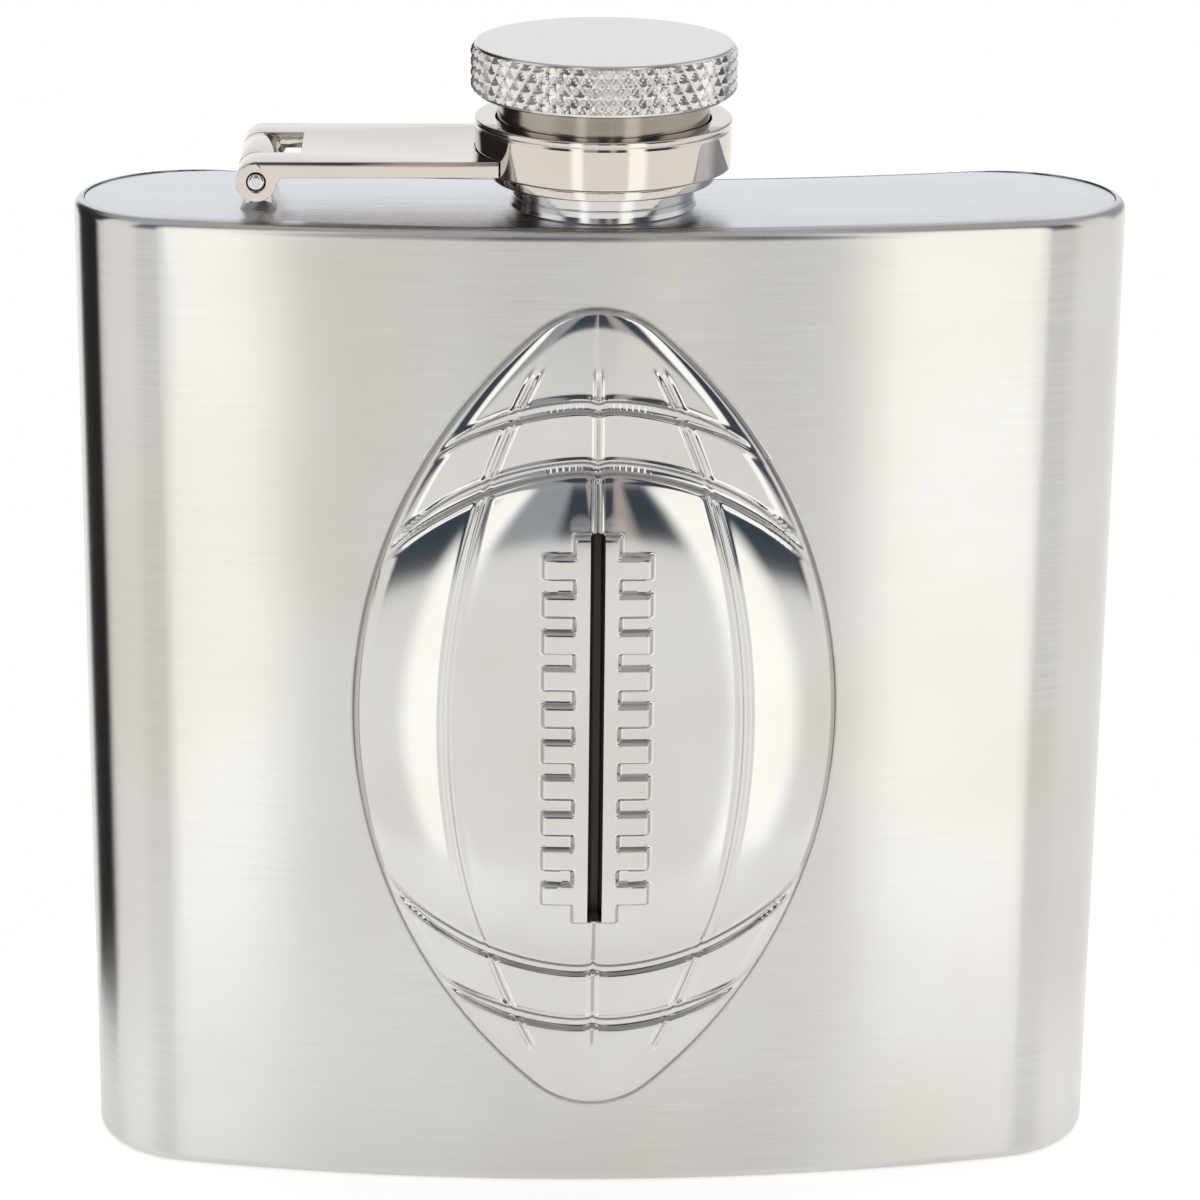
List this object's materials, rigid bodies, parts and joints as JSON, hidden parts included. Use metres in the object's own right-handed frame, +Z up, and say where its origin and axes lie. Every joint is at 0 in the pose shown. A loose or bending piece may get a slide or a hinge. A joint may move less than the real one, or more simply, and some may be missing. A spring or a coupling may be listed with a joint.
{
  "type": "hip flask",
  "caption": "Stainless steel hip flask with a bent oval body, a pressed football on the front, a threaded spout and a captive knurled screw cap on a hinged arm.",
  "frame": {"origin": "on the surface the flask stands on, at the bottom plate's middle, straight below the spout's axis", "axes": "+Z up along the spout, -Y out of the convex front with the football, +X towards the side without the hinge"},
  "size_m": [0.095, 0.0297, 0.1063],
  "materials": {
    "satin_steel": "satin, polished on the pressed football and the rims",
    "plate_steel": "satin",
    "turned_steel": "fine turned",
    "polished_steel": "polished",
    "cap_steel": "satin top with a diamond knurl round the side",
    "silicone": "soft matte"
  },
  "bodies": {
    "flask": {"body_sleeve": "satin_steel", "bottom_plate": "plate_steel", "top_plate": "plate_steel", "neck_spout": "turned_steel", "hinge_post": "polished_steel"},
    "arm": {"hinge_arm": "polished_steel", "hinge_pin": "turned_steel", "collar_ring": "polished_steel"},
    "cap": {"cap_head": "cap_steel", "threaded_insert": "turned_steel", "sealing_washer": "silicone"}
  },
  "joints": [
    {"name": "arm_swing", "type": "hinge", "parent": "flask", "child": "arm", "pos_m": [-0.0306, 0.0013, 0.09505], "axis": [0, -1, 0], "range_deg": [0, 180]},
    {"name": "cap_spin", "type": "hinge", "parent": "arm", "child": "cap", "pos_m": [0, 0, 0.1], "axis": [0, 0, 1], "continuous": true}
  ]
}
